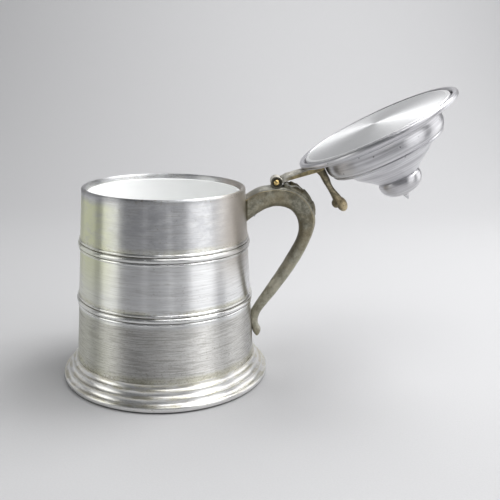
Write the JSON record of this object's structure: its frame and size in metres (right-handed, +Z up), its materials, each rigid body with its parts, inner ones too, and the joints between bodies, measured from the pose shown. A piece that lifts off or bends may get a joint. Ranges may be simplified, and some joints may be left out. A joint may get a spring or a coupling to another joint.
{
  "type": "lidded tankard ice bucket",
  "caption": "Tankard-shaped insulated bucket with ringed conical wall, flared foot, white liner, cast scroll handle and hinged stepped lid with finial and thumbpiece.",
  "frame": {"origin": "centre of the foot ring, on the plane it stands on", "axes": "+Z up along the body's axis, +X from the body's axis towards the handle, +Y to the left of the handle seen from the body"},
  "size_m": [0.3966, 0.2158, 0.3024],
  "materials": {
    "spun_aluminium": "satin",
    "turned_aluminium": "polished",
    "cast_pewter": "satin",
    "pin_brass": "gloss",
    "liner_white": "gloss",
    "foam": "matte",
    "zinc_plated_steel": "satin"
  },
  "bodies": {
    "tankard": {"body_shell": "spun_aluminium", "foot_ring": "spun_aluminium", "base_plate": "spun_aluminium", "liner": "liner_white", "insulation_sleeve": "foam", "insulation_floor": "foam", "handle": "cast_pewter", "handle_backing_plate": "zinc_plated_steel", "handle_upper_screws": "zinc_plated_steel", "handle_lower_washer": "zinc_plated_steel", "handle_lower_screw": "zinc_plated_steel", "hinge_pin": "pin_brass"},
    "lid": {"hinge_strap": "cast_pewter", "thumbpiece": "cast_pewter", "strap_backing_plate": "zinc_plated_steel", "strap_screws": "zinc_plated_steel", "lid_shell": "turned_aluminium", "lid_insulation": "foam", "lid_inner_plate": "turned_aluminium", "finial": "turned_aluminium", "finial_tip": "turned_aluminium", "finial_bolt": "zinc_plated_steel", "finial_washer": "zinc_plated_steel"}
  },
  "joints": [
    {"name": "lid_hinge", "type": "hinge", "parent": "tankard", "child": "lid", "pos_m": [0.1138, 0, 0.2053], "axis": [0, -1, 0], "range_deg": [0, 152]}
  ]
}
